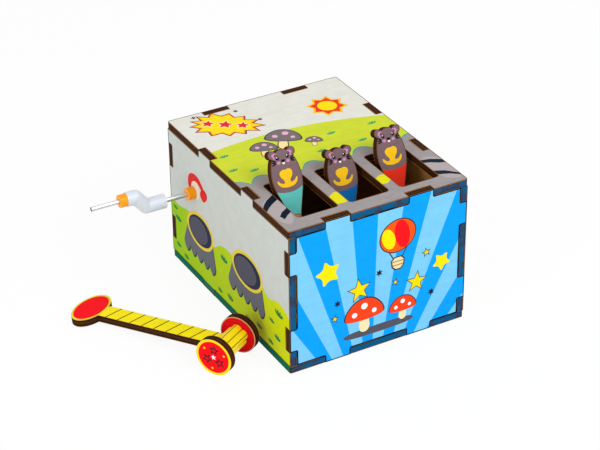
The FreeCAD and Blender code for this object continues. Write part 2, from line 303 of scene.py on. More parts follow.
def lid_print(tree, flat):
    """Pale sky at the back, a lime hill whose crest is a wide circle, and a grey yard round the
    slots whose edge is a row of arches: y = foot + rise * |sin(pi (x - start) / pitch)|^0.8."""
    crest_centre = (-15.0, -151.8, lid_top)
    crest_radius = 178.0
    arch_foot, arch_rise, arch_start, arch_pitch = -16.2, 6.2, -0.75, 14.5
    line_edge, yard_edge, soft = 0.65, -0.45, 0.1
    axes = add(tree, "ShaderNodeSeparateXYZ", None, {0: flat})
    reach = add(tree, "ShaderNodeVectorMath", "DISTANCE", {0: flat, 1: crest_centre})
    hill = add(tree, "ShaderNodeMapRange", None, {0: reach, 1: crest_radius + soft, 2: crest_radius - soft})
    colour = add(tree, "ShaderNodeMix", blend, {0: hill, 6: linear("e9e8df"), 7: linear("d3df35")})
    turn = math.pi / arch_pitch
    phase = add(tree, "ShaderNodeMath", "MULTIPLY_ADD", {0: axes.outputs[0], 1: turn, 2: -arch_start * turn})
    wave = add(tree, "ShaderNodeMath", "SINE", {0: phase})
    wave = add(tree, "ShaderNodeMath", "ABSOLUTE", {0: wave})
    wave = add(tree, "ShaderNodeMath", "POWER", {0: wave, 1: 0.8})
    arch = add(tree, "ShaderNodeMath", "MULTIPLY_ADD", {0: wave, 1: arch_rise, 2: arch_foot})
    above = add(tree, "ShaderNodeMath", "SUBTRACT", {0: axes.outputs[1], 1: arch})
    line = add(tree, "ShaderNodeMapRange", None, {0: above, 1: line_edge + soft, 2: line_edge - soft})
    yard = add(tree, "ShaderNodeMapRange", None, {0: above, 1: yard_edge + soft, 2: yard_edge - soft})
    colour = add(tree, "ShaderNodeMix", blend, {0: line, 6: colour, 7: linear("3fae9c")})
    stone = add(
        tree, "ShaderNodeTexNoise", None, {"Vector": flat, "Scale": 0.7, "Detail": 5.0, "Roughness": 0.65}
    )
    grey = add(tree, "ShaderNodeMix", blend, {0: stone, 6: linear("938c8d"), 7: linear("b0a9a9")})
    return add(tree, "ShaderNodeMix", blend, {0: yard, 6: colour, 7: grey})


def wear(node, material):
    """Puts one material on a CAD node in place of its plain one."""
    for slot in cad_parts[node].material_slots:
        slot.material = material


def ellipse(centre, half, turn=0.0, count=40):
    """Closed ellipse: centre + turned (half0 cos t, half1 sin t)."""
    t = np.linspace(0, 2 * math.pi, count, endpoint=False)
    x, y = half[0] * np.cos(t), half[1] * np.sin(t)
    c, s = math.cos(turn), math.sin(turn)
    return np.c_[centre[0] + c * x - s * y, centre[1] + s * x + c * y]


def star(centre, outer, inner, tips, turn):
    """Star: 2*tips points at even angles, whose radius alternates from outer to inner."""
    t = math.radians(turn) + np.arange(2 * tips) * math.pi / tips
    r = np.where(np.arange(2 * tips) % 2 == 0, outer, inner)
    return np.c_[centre[0] + r * np.cos(t), centre[1] + r * np.sin(t)]


def rounded(corners, rounds=3):
    """Closed outline with its corners cut at a quarter and three quarters of each side, again
    and again, which tends to a smooth curve."""
    points = np.array(corners, float)
    for _ in range(rounds):
        ahead = np.roll(points, -1, axis=0)
        points = np.stack((0.75 * points + 0.25 * ahead, 0.25 * points + 0.75 * ahead), 1)
        points = points.reshape(-1, 2)
    return points


def tuft(base, size, turn=0.0):
    """Clump of grass: blade tips and the gaps between them, by turns, over a curved foot."""
    s = np.linspace(-1, 1, 9)
    tall = np.where(np.arange(9) % 2 == 1, 1.0 - 0.45 * s**2, 0.34 + 0.1 * np.cos(3 * s))
    blades = np.c_[s * (1 + 0.25 * tall), tall]
    foot = np.c_[np.linspace(0.7, -0.7, 5), -0.12 + 0.1 * np.linspace(-1, 1, 5) ** 2]
    shape = np.vstack((blades, foot)) * size
    c, t = math.cos(turn), math.sin(turn)
    return shape @ np.array([(c, t), (-t, c)]) + np.array(base)


# Screen ink: an opaque satin layer a few hundredths of a millimetre thick, which takes its colour
# from each shape and lets the grain below show through as faint streaks.
screen_ink, tree, shader = new_material("screen printed ink")
shade = add(tree, "ShaderNodeAttribute", {"attribute_name": "ink"})
where = add(tree, "ShaderNodeTexCoord")
streak_way = add(
    tree, "ShaderNodeMapping", None, {"Vector": where.outputs["Object"], "Scale": (300, 1500, 1500)}
)
streak = add(tree, "ShaderNodeTexNoise", None, {"Vector": streak_way, "Scale": 1.0, "Detail": 3.0})
streak_shade = add(tree, "ShaderNodeMapRange", None, {0: streak, 1: 0.3, 2: 0.7, 3: 0.93, 4: 1.03})
inked = add(tree, "ShaderNodeMix", shade_by, {0: 1.0, 6: shade.outputs["Color"], 7: streak_shade})
tree.links.new(inked.outputs[2], shader.inputs["Base Color"])
shader.inputs["Roughness"].default_value = 0.5
shader.inputs["Specular IOR Level"].default_value = 0.06


def print_motifs(name, motifs, body, slot, origin, across, up, out):
    """Thin closed slabs of ink on a panel. A motif is (outline in mm, colour, layer), and a point
    (a, b) of an outline lies at origin + a*across + b*up, lifted along out by its layer."""
    origin, across, up, out = (np.array(v, float) for v in (origin, across, up, out))
    right_handed = np.dot(np.cross(across, up), out) > 0
    sunk, first_lift, layer_lift = 0.01, 0.03, 0.02
    points, faces, colours, start = [], [], [], 0
    for outline, colour, layer in motifs:
        a, b = outline[:, 0], outline[:, 1]
        turns_left = np.sum(a * np.roll(b, -1) - np.roll(a, -1) * b) > 0
        if turns_left != right_handed:
            outline = outline[::-1]
        n = len(outline)
        flat = origin + outline[:, :1] * across + outline[:, 1:] * up
        lift = first_lift + layer_lift * layer
        points += [flat - sunk * out, flat + lift * out]
        ring = start + np.arange(n)
        ahead = np.roll(ring, -1)
        faces += [(ring + n).tolist(), ring[::-1].tolist()]
        faces += np.c_[ring, ahead, ahead + n, ring + n].tolist()
        colours.append(np.tile(linear(colour), (2 * n, 1)))
        start += 2 * n
    mesh = bpy.data.meshes.new(name)
    mesh.from_pydata((np.vstack(points) * MM).tolist(), [], faces)
    ink = mesh.color_attributes.new("ink", "FLOAT_COLOR", "POINT")
    ink.data.foreach_set("color", np.vstack(colours).astype(np.float32).ravel())
    mesh.materials.append(screen_ink)
    piece = bpy.data.objects.new(name, mesh)
    bpy.context.scene.collection.objects.link(piece)
    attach(piece, body)


def scorch_and_highlight(node, body, slot, origin, across, up, out, width=0.38, colour="150c0a"):
    """Line round a printed face: mostly the brown line that the laser leaves, and on the mallet's rear disc
    a pale band that is a painted highlight. The face's outline is every triangle side that no second
    triangle shares, and each side a-b gives the band a, b, b+n, a+n, where n points into the face and is as
    long as the line is wide."""
    near_face, corners_per_mm, scorch_and_highlight_layer = 0.05, 200, 2.5
    origin, across, up, out = (np.array(v, float) for v in (origin, across, up, out))
    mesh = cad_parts[node].data
    spots = np.empty(3 * len(mesh.vertices))
    mesh.vertices.foreach_get("co", spots)
    corners = np.empty(len(mesh.loops), int)
    mesh.loops.foreach_get("vertex_index", corners)
    triangles = (spots.reshape(-1, 3) / MM)[corners.reshape(-1, 3)]
    facing = np.cross(triangles[:, 1] - triangles[:, 0], triangles[:, 2] - triangles[:, 0])
    facing /= np.linalg.norm(facing, axis=1)[:, None]
    level = np.abs((triangles.mean(axis=1) - origin) @ out) < near_face
    printed = triangles[(facing @ out > 0.99) & level] - origin
    plane = np.stack((printed @ across, printed @ up), 2)
    right_handed = np.dot(np.cross(across, up), out) > 0
    starts = plane.reshape(-1, 2)
    ends = np.roll(plane, -1, axis=1).reshape(-1, 2)
    keys = np.round(np.hstack((starts, ends)) * corners_per_mm).astype(int)
    sides = {tuple(key) for key in keys.tolist()}
    alone = np.array([(c, d, a, b) not in sides for a, b, c, d in keys.tolist()])
    starts, ends = starts[alone], ends[alone]
    way = (ends - starts) / np.linalg.norm(ends - starts, axis=1)[:, None]
    inward = np.c_[-way[:, 1], way[:, 0]] * (width if right_handed else -width)
    bands = np.stack((starts, ends, ends + inward, starts + inward), 1)
    lines = [(band, colour, scorch_and_highlight_layer) for band in bands]
    print_motifs(node + "_scorch_and_highlight", lines, body, slot, origin, across, up, out)


blue_edge = "085884"
wear(
    "lid",
    plywood(
        "birch plywood, printed lid", (0, 0, 1), lid_top, lid_print, [((0, -1, 0), half_depth, blue_edge, 1)]
    ),
)
lid_face = ("box", "lid_print", (0, 0, lid_top), (1, 0, 0), (0, 1, 0), (0, 0, 1))
scorch_and_highlight("lid", *lid_face, 0.3, "7d4c22")

sun = (29.8, 37.8)
lid_motifs = [
    (star(sun, 11.4, 7.9, 8, 19.4), "ffcb10", 0),
    (star(sun, 9.3, 6.8, 8, 19.4), "f23a1c", 1),
    (ellipse(sun, (5.3, 5.3)), "ffe600", 2),
]
lid_motifs += [
    (tuft(spot, 2.5, 0.12), "2fa96c", 0)
    for spot in (
        (-42.9, 15.5), (-45.5, 0.5), (-36.2, -4.5), (16.5, 9.8), (40.5, 8.8), (27.0, -4.5), (2.8, -4.0),
        (-1.5, 18.0), (46.0, -3.5),
    )
]
# Comic burst on the sky with three stars in it, and three dark sparks round it
burst, burst_turn = np.array((-26.7, 46.3)), math.radians(-35)
burst_half, burst_tips = (20.4, 13.0), 13
burst_corners = np.arange(2 * burst_tips)
burst_ways = burst_corners * math.pi / burst_tips + 0.1
burst_rise = np.where(burst_corners % 2 == 0, 1.0, 0.74) * (1 + 0.06 * np.cos(3 * burst_ways))
flare = np.c_[
    burst_half[0] * burst_rise * np.cos(burst_ways), burst_half[1] * burst_rise * np.sin(burst_ways)
]
c, t = math.cos(burst_turn), math.sin(burst_turn)
flare = flare @ np.array([(c, t), (-t, c)])
lid_motifs += [
    (burst + flare, "3a1c16", 0),
    (burst + flare * 0.955, "f4511a", 1),
    (burst + flare * 0.915, "ffae11", 2),
    (burst + flare * 0.86, "ffe414", 3),
]
for along, size in ((-9.2, 3.5), (0.0, 4.1), (9.2, 3.5)):
    spot = burst + np.array((c, t)) * along
    lid_motifs += [
        (star(spot, size + 0.6, 0.5 * size + 0.5, 5, 55), "fff6e0", 4),
        (star(spot, size, 0.5 * size, 5, 55), "ee2a22", 5),
    ]
for spot in ((-37.6, 61.4), (-15.0, 57.0), (-8.0, 42.6)):
    lid_motifs.append((star(spot, 1.7, 0.7, 5, 25), "33352f", 0))
# Mushrooms on the hill
for spot, size, lean in (((-24.5, 5.5), 7.2, -0.35), ((-13.0, 8.5), 9.6, -0.5), ((2.6, 3.2), 4.6, -0.42)):
    at = np.array(spot)
    c, s = math.cos(lean), math.sin(lean)
    turned = np.array([(c, s), (-s, c)])
    stem = rounded([(-0.28, 0), (0.28, 0), (0.2, 1.2), (-0.2, 1.2)], 2)
    cap = rounded([(-1, 0.85), (1, 0.85), (0.9, 1.55), (0.35, 2.1), (-0.35, 2.1), (-0.9, 1.55)], 3)
    lid_motifs += [
        (at + (stem - (0, 0.06)) * (1.25 * size, 1.06 * size) @ turned, "463e42", 0),
        (at + stem * size @ turned, "ffe7a6", 1),
        (at + (cap - (0, 1.45)) * 1.09 * size @ turned + (0, 1.45 * size) @ turned, "463e42", 2),
        (at + cap * size @ turned, "7a7075", 3),
    ]
    for dot_x, dot_y, dot_size in ((-0.45, 1.35, 0.16), (0.1, 1.7, 0.19), (0.52, 1.28, 0.13)):
        dot = ellipse((dot_x, dot_y), (dot_size, dot_size), count=20)
        lid_motifs.append((at + dot * size @ turned, "f3b7c4", 4))
# Yellow patches on the bars between the slots, and a pale band with dark stripes in each front corner
for patch in (
    [(-17.75, -53.5), (-14.0, -54.0), (-11.25, -53.7), (-11.25, -43.6), (-13.4, -42.9), (-17.75, -45.6)],
    [(11.25, -47.9), (14.4, -48.6), (17.75, -46.0), (17.75, -39.7), (14.6, -39.8), (11.25, -41.8)],
):
    lid_motifs.append((np.array(patch), "e9e31c", 0))
for band in (
    [(-50.7, -46.5), (-50.7, -36.0), (-40.3, -29.0), (-40.3, -50.5), (-44.5, -59.0), (-49.0, -57.0)],
    [(50.7, -46.5), (50.7, -38.0), (40.3, -33.5), (40.3, -56.0), (46.0, -61.5), (50.7, -61.5)],
):
    lid_motifs.append((rounded(band, 2), "b5abac", 0))
for stripe in (
    [
        (-50.7, -39.2), (-48.6, -36.4), (-45.4, -33.2), (-40.3, -29.9), (-40.3, -35.0), (-44.6, -37.6),
        (-47.8, -40.2), (-50.7, -43.2),
    ],
    [(-47.3, -50.0), (-44.6, -47.0), (-40.3, -44.2), (-40.3, -48.6), (-43.6, -50.8), (-46.4, -53.4)],
    [
        (40.3, -37.2), (45.4, -38.4), (50.7, -41.6), (50.7, -45.2), (47.6, -44.0), (44.0, -41.6),
        (40.3, -40.2),
    ],
    [(40.3, -49.4), (45.9, -52.2), (50.7, -57.4), (50.7, -59.6), (46.2, -56.0), (40.3, -53.6)],
):
    lid_motifs.append((np.array(stripe), "021527", 1))
print_motifs("lid_motifs", lid_motifs, *lid_face)


# Front panel
# The same plywood, printed with a sunburst, whose tabs rise through the lid and reach round the
# corners. Yellow stars, a balloon and toadstools are printed over the rays.
def front_print(tree, flat):
    """Sunburst: the angle about a point below the panel, in equal rays of two blues. Ten pairs of
    rays are added, so that the count is never below zero."""
    ray_foot = (-5.0, -48.0)
    ray_angle = math.radians(6.6)
    first_ray = math.radians(-18.0)
    axes = add(tree, "ShaderNodeSeparateXYZ", None, {0: flat})
    x = add(tree, "ShaderNodeMath", "SUBTRACT", {0: axes.outputs[0], 1: ray_foot[0]})
    z = add(tree, "ShaderNodeMath", "SUBTRACT", {0: axes.outputs[2], 1: ray_foot[1]})
    angle = add(tree, "ShaderNodeMath", "ARCTAN2", {0: x, 1: z})
    count = add(
        tree,
        "ShaderNodeMath",
        "MULTIPLY_ADD",
        {0: angle, 1: 0.5 / ray_angle, 2: 10 - 0.5 * first_ray / ray_angle},
    )
    within = add(tree, "ShaderNodeMath", "FRACT", {0: count})
    bright = add(tree, "ShaderNodeMath", "LESS_THAN", {0: within, 1: 0.5})
    return add(tree, "ShaderNodeMix", blend, {0: bright, 6: linear("7cccf6"), 7: linear("04a2fb")})


def ribbon(path, width, taper=0.0):
    """Band along an open path: each point moved half the width to either side. taper 1 draws
    both ends nearly to a point, by (1 - s^2)^0.5 with s from -1 to 1 along it."""
    path = np.array(path, float)
    way = np.gradient(path, axis=0)
    way /= np.linalg.norm(way, axis=1)[:, None]
    side = np.c_[-way[:, 1], way[:, 0]]
    s = np.linspace(-1, 1, len(path))
    half = width / 2 * (1 - taper + taper * np.sqrt(np.clip(1 - s**2, 0.004, 1)))[:, None]
    return np.vstack((path + side * half, (path - side * half)[::-1]))


wear("front_panel", plywood("birch plywood, printed front", (0, -1, 0), half_depth, front_print))
front_face = ("box", "front_print", (0, -half_depth, 0), (1, 0, 0), (0, 0, 1), (0, -1, 0))
scorch_and_highlight("front_panel", *front_face, 0.55)

outline_ink = "33323c"
front_motifs = [
    (rounded(star((-29.2, 51.8), 8.3, 3.6, 5, 104), 3), "ffe806", 1),
    (rounded(star((36.7, 38.4), 6.3, 2.7, 5, 54), 3), "ffe806", 1),
]
for spot, size, turn in (
    ((-11.5, 36.5), 7.4, 96), ((22.0, 31.0), 6.6, 84), ((-25.5, 24.0), 2.6, 80), ((27.5, 46.5), 2.9, 100),
    ((9.5, 34.5), 2.5, 70),
):
    front_motifs += [
        (star(spot, size, size * 0.42, 5, turn), outline_ink, 0),
        (star(spot, size - 1.1, (size - 1.1) * 0.42, 5, turn), "ffe000", 1),
    ]
for spot in ((-24.0, 32.5), (31.0, 22.0), (0.0, 43.0)):
    front_motifs.append((star(spot, 2.2, 1.0, 6, 20), "1d2140", 0))
# Balloon with three coloured gores and a basket
balloon = np.array((10.5, 61.5))
front_motifs += [
    (ellipse(balloon, (10.7, 9.6), 0.2, 56), outline_ink, 0),
    (ellipse(balloon, (10.1, 9.0), 0.2, 56), "ff5a12", 1),
    (ellipse(balloon + (-5.3, -0.7), (3.6, 6.2), 0.32, 40), "ffe800", 2),
    (ellipse(balloon + (2.6, 0.5), (4.2, 8.3), 0.2, 40), "f9101a", 2),
    (ribbon([(5.5, 53.2), (8.3, 48.2)], 0.6), outline_ink, 0),
    (ribbon([(16.0, 53.8), (13.0, 48.2)], 0.6), outline_ink, 0),
    (rounded([(6.4, 49.4), (15.0, 49.4), (14.2, 41.6), (7.4, 41.6)], 1), outline_ink, 1),
    (rounded([(7.1, 48.8), (14.3, 48.8), (13.5, 42.3), (8.1, 42.3)], 1), "f3dca4", 2),
    (ribbon([(7.4, 46.6), (14.0, 46.6)], 0.5), "9a7446", 3),
    (ribbon([(7.8, 44.5), (13.6, 44.5)], 0.5), "9a7446", 3),
]
# Toadstools on a dark line of ground
front_motifs.append((
    rounded([(-22, 10.4), (-17, 8.2), (16, 8.2), (22, 10.4), (16, 12.8), (-16, 12.6)], 3),
    "55545f",
    0,
))
for foot, size in (((-8.5, 11.0), 11.4), ((14.0, 11.2), 8.0)):
    at = np.array(foot)
    stem = rounded([(-0.3, 0), (0.3, 0), (0.22, 0.9), (-0.22, 0.9)], 2)
    cap = rounded([(-1, 0.62), (1, 0.62), (0.95, 1.15), (0.4, 1.72), (-0.4, 1.72), (-0.95, 1.15)], 3)
    front_motifs += [
        (at + stem * size, "f6e6b4", 2),
        (at + cap * (1.06 * size, 1.05 * size) - (0, 0.03 * size), outline_ink, 3),
        (at + cap * size, "ff4316", 4),
    ]
    for dot_x, dot_y, dot_size in ((-0.5, 1.0, 0.13), (0.0, 1.34, 0.16), (0.5, 0.98, 0.12)):
        front_motifs.append((at + ellipse((dot_x, dot_y), (dot_size, dot_size)) * size, "ffffff", 5))
print_motifs("front_motifs", front_motifs, *front_face)


# Side and back panels
# Plywood with a whitish film and printed hills. Each side carries the shaft in a plain bore, and
# its end grain shows on the front between the front panel's tabs.
def hills_print(tree, flat, across):
    """Whitish sky, set darker than the lid's sky as painted shade on the walls, and grass whose crest is a
    smooth curve through a few points, and a dark green strip at the foot. across is 0 or 1, the axis that
    runs along the panel."""
    crest_soft, strip_top, strip_soft = 0.12, 4.05, 0.1
    crest = (
        (-65, 31.5), (-60, 34.5), (-53, 35.8), (-44, 33.0), (-35, 37.5), (-20, 43.0), (-6, 37.0), (1, 37.4),
        (8, 35.8), (17, 31.0), (31, 36.0), (45, 38.0), (56, 36.0), (65, 37.5),
    )
    axes = add(tree, "ShaderNodeSeparateXYZ", None, {0: flat})
    share = add(tree, "ShaderNodeMapRange", None, {0: axes.outputs[across], 1: -half_depth, 2: half_depth})
    curve = add(tree, "ShaderNodeFloatCurve", None, {"Value": share})
    line = curve.mapping.curves[0]
    spots = [((y + half_depth) / (2 * half_depth), z / lid_top) for y, z in crest]
    line.points[0].location = spots[0]
    line.points[1].location = spots[-1]
    for spot in spots[1:-1]:
        line.points.new(*spot)
    curve.mapping.update()
    height = add(tree, "ShaderNodeMath", "MULTIPLY", {0: curve, 1: lid_top})
    above = add(tree, "ShaderNodeMath", "SUBTRACT", {0: axes.outputs[2], 1: height})
    grass = add(tree, "ShaderNodeMapRange", None, {0: above, 1: crest_soft, 2: -crest_soft})
    green = add(tree, "ShaderNodeMix", blend, {0: share, 6: linear("cfda00"), 7: linear("98c800")})
    # The sky colour is the lid's white film painted a shade darker: painted shade on the walls.
    colour = add(tree, "ShaderNodeMix", blend, {0: grass, 6: linear("cbd0cb"), 7: green})
    foot = add(
        tree,
        "ShaderNodeMapRange",
        None,
        {0: axes.outputs[2], 1: strip_top + strip_soft, 2: strip_top - strip_soft},
    )
    return add(tree, "ShaderNodeMix", blend, {0: foot, 6: colour, 7: linear(foot_green)})


foot_green = "0b6a50"
side_tints = [((0, -1, 0), half_depth, blue_edge, 1), ((0, 0, -1), 0.0, foot_green, 0)]
for side, node in ((-1, "left_panel"), (1, "right_panel")):
    wear(
        node,
        plywood(
            "birch plywood, printed " + node.replace("_", " "),
            (side, 0, 0),
            half_width,
            lambda tree, flat: hills_print(tree, flat, 1),
            side_tints,
            # inner is birch lightened to a bright tan: painted light on the inside of the side walls, which
            # are lit through the slots.
            inner="f0b462",
        ),
    )
wear(
    "back_panel",
    plywood(
        "birch plywood, printed back panel",
        (0, 1, 0),
        half_depth,
        lambda tree, flat: hills_print(tree, flat, 0),
        side_tints[1:],
    ),
)


def burrow(y, z, half):
    """Mole hole: a gold rim, a dark mouth that is shaded at its back, and a fan of grey earth
    below it, whose edge is five lobes: z = -14.5 - 5 |cos(2.5 pi t)|^0.6 for t from -1 to 1."""
    lobes = np.linspace(-1, 1, 80)
    edge = -14.5 - 5.0 * np.abs(np.cos(lobes * 2.5 * math.pi)) ** 0.6
    fan = np.vstack((np.c_[1.6 + lobes * (half + 4.6), edge], [(half * 1.05, -1.0), (-half, -1.0)]))
    at = np.array((y, z))
    return [
        (at + fan - (0.7, 0.7), "23262e", 0),
        (at + fan, "62656e", 1),
        (ellipse(at, (half + 1.6, 10.4), -0.12, 56), "e8cb3e", 2),
        (ellipse(at, (half - 0.4, 8.6), -0.12, 56), "10233f", 3),
        (ellipse(at + (1.7, -0.5), (half - 3.2, 7.2), -0.12, 56), "4b4b5b", 4),
    ]


grass_ink = "0d7d3c"
side_motifs = burrow(31.0, 32.5, 13.6) + burrow(-21.2, 36.2, 14.8)
side_motifs += [
    (tuft(spot, size, 0.1), grass_ink, 0)
    for spot, size in (
        ((60.0, 32.0), 2.4), ((57.0, 26.0), 3.2), ((58.0, 9.5), 2.6), ((49.0, 6.4), 2.6), ((4.5, 28.5), 3.6),
        ((10.0, 7.0), 2.4), ((-1.5, 8.4), 3.2), ((-21.5, 7.0), 3.0), ((-33.0, 9.4), 2.6),
        ((-54.0, 28.0), 3.8), ((-52.0, 13.0), 3.0), ((-45.0, 7.0), 2.6), ((-46.5, 20.5), 2.4),
    )
]
# Arrow that shows which way to turn the crank, round the shaft
arrow_red = "dc2020"
left_motifs = side_motifs + [
    (ellipse((35.9, 55.6), (6.0, 5.6)), "f1dfc9", 0),
    (
        rounded(
            [
                (42.2, 53.0), (43.6, 57.0), (42.2, 61.6), (38.1, 64.4), (32.0, 65.0), (27.6, 62.6),
                (24.6, 59.4), (27.6, 58.0), (30.4, 60.2), (33.7, 61.0), (37.2, 60.0), (39.4, 57.6),
                (39.9, 54.0),
            ],
            2,
        ),
        arrow_red,
        1,
    ),
    (rounded([(25.6, 61.4), (30.6, 55.6), (25.6, 51.4), (20.0, 58.2)], 2), arrow_red, 2),
]
for side, name, motifs in ((-1, "left", left_motifs), (1, "right", side_motifs)):
    side_face = ("box", "side_print", (side * half_width, 0, 0), (0, 1, 0), (0, 0, 1), (side, 0, 0))
    print_motifs(name + "_motifs", motifs, *side_face)
    scorch_and_highlight(name + "_panel", *side_face)
back_motifs = [
    (tuft(spot, size, 0.1), grass_ink, 0)
    for spot, size in (
        ((-38.0, 9.0), 3.0), ((-22.0, 22.0), 3.6), ((-6.0, 8.0), 2.6), ((9.0, 19.0), 3.2),
        ((24.0, 9.0), 3.0), ((38.0, 24.0), 3.4),
    )
]
back_face = ("box", "side_print", (0, half_depth, 0), (1, 0, 0), (0, 0, 1), (0, 1, 0))
print_motifs("back_motifs", back_motifs, *back_face)
scorch_and_highlight("back_panel", *back_face)


# Base, pivot blocks, levers and cams
# Unprinted birch plywood straight from the laser, brown on its edges, its faces darkened as painted shade
# for the dark inside of the box.
# They are glued or pressed together, and only their edges show from outside.
def shade_darkened_bare_face(tree, flat):
    """Bare birch darkened as painted shade for the inside of the box, which the grain then varies."""
    colour = add(tree, "ShaderNodeRGB")
    colour.outputs[0].default_value = linear("a3865a")
    return colour


wear(
    "base",
    plywood(
        "birch plywood, bare base",
        (0, 0, -1),
        0.0,
        shade_darkened_bare_face,
        [
            ((0, -1, 0), half_depth, blue_edge, 1),
            ((-1, 0, 0), half_width, foot_green, 0),
            ((1, 0, 0), half_width, foot_green, 0),
            ((0, 1, 0), half_depth, foot_green, 0),
        ],
        gloss=0.7,
    ),
)
cut_ply = plywood("birch plywood, bare lever", (1, 0, 0), 0.0, shade_darkened_bare_face, gloss=0.7)
for node in (
    "pivot_block_left", "pivot_block_right", "lever_1", "lever_2", "lever_3", "cam_1", "cam_2", "cam_3"
):
    wear(node, cut_ply)

# Camshaft, pivot rod and handle rod
# Drawn steel rod, bright as it comes from the die, with fine lines along it. The camshaft is pressed into
# the white sleeve, and the handle rod's outer end is cut square. Every end face that looks to -X is painted
# dark blue-grey, as painted shade.
steel, tree, shader = new_material("drawn bright steel rod")
where = add(tree, "ShaderNodeTexCoord")
draw_lines = add(
    tree, "ShaderNodeMapping", None, {"Vector": where.outputs["Object"], "Scale": (60, 2500, 2500)}
)
lines = add(tree, "ShaderNodeTexNoise", None, {"Vector": draw_lines, "Scale": 1.0, "Detail": 2.0})
rough = add(tree, "ShaderNodeMapRange", None, {0: lines, 3: 0.28, 4: 0.34})
tree.links.new(rough.outputs[0], shader.inputs["Roughness"])
shader.inputs["Metallic"].default_value = 1.0
# Dark blue-grey on every face that looks to -X: painted shade on the rod ends.
end = add(tree, "ShaderNodeVectorMath", "DOT_PRODUCT", {0: where.outputs["Normal"], 1: (-1, 0, 0)})
end_shade_mask = add(tree, "ShaderNodeMapRange", None, {0: end, 1: 0.8, 2: 0.9})
tone = add(tree, "ShaderNodeMix", blend, {0: end_shade_mask, 6: linear("d9dcdf"), 7: linear("4c5a64")})
tree.links.new(tone.outputs[2], shader.inputs["Base Color"])
for node in ("camshaft", "pivot_rod", "handle_rod"):
    wear(node, steel)


# Bushes and cam hubs
# Short collars moulded in orange ABS, with the faint orange-peel gloss of the mould.
# Each is pressed onto its rod, and keeps the shaft or the handle from sliding.
def moulded(name, colour, gloss, see_through=0.0):
    """Moulded plastic with slow waves of gloss about 1.5 mm apart."""
    material, tree, shader = new_material(name)
    where = add(tree, "ShaderNodeTexCoord")
    waves = add(
        tree, "ShaderNodeTexNoise", None, {"Vector": where.outputs["Object"], "Scale": 650.0, "Detail": 1.0}
    )
    rough = add(tree, "ShaderNodeMapRange", None, {0: waves, 3: gloss - 0.05, 4: gloss + 0.08})
    tint = add(tree, "ShaderNodeMapRange", None, {0: waves, 3: 0.95, 4: 1.03})
    shade = add(tree, "ShaderNodeMix", shade_by, {0: 1.0, 6: linear(colour), 7: tint})
    bump = add(tree, "ShaderNodeBump", None, {"Height": waves, "Strength": 0.3, "Distance": 0.00004})
    tree.links.new(shade.outputs[2], shader.inputs["Base Color"])
    tree.links.new(rough.outputs[0], shader.inputs["Roughness"])
    tree.links.new(bump.outputs[0], shader.inputs["Normal"])
    if see_through:
        shader.inputs["Subsurface Weight"].default_value = see_through
        shader.inputs["Subsurface Radius"].default_value = (1, 1, 1)
        shader.inputs["Subsurface Scale"].default_value = 0.0015
    return material


orange_abs = moulded("moulded orange ABS", "ffa300", 0.36)
orange_abs.node_tree.nodes["Principled BSDF"].inputs["Specular IOR Level"].default_value = 0.25
for node in ("left_wall_bush", "right_wall_bush", "handle_bush", "cam_hubs"):
    wear(node, orange_abs)

# Crank sleeve and pivot spacers
# White polypropylene, a little waxy. The sleeve is one Z-shaped moulding with a socket at each
# end, and the spacers are cut from tube.
white_pp = moulded("moulded white polypropylene", "d9dfea", 0.32, 0.25)
for node in ("crank_sleeve", "pivot_spacers"):
    wear(node, white_pp)


# Moles
# Plywood figures printed on the front only: a grey-brown mole with a coloured lower part, each in
# its own colour. Their edges are charred, and each foot straddles its lever's tongue.
def arc(centre, radius, start, end, count=24):
    """Open arc from start to end, in degrees."""
    t = np.radians(np.linspace(start, end, count))
    return np.c_[centre[0] + radius * np.cos(t), centre[1] + radius * np.sin(t)]


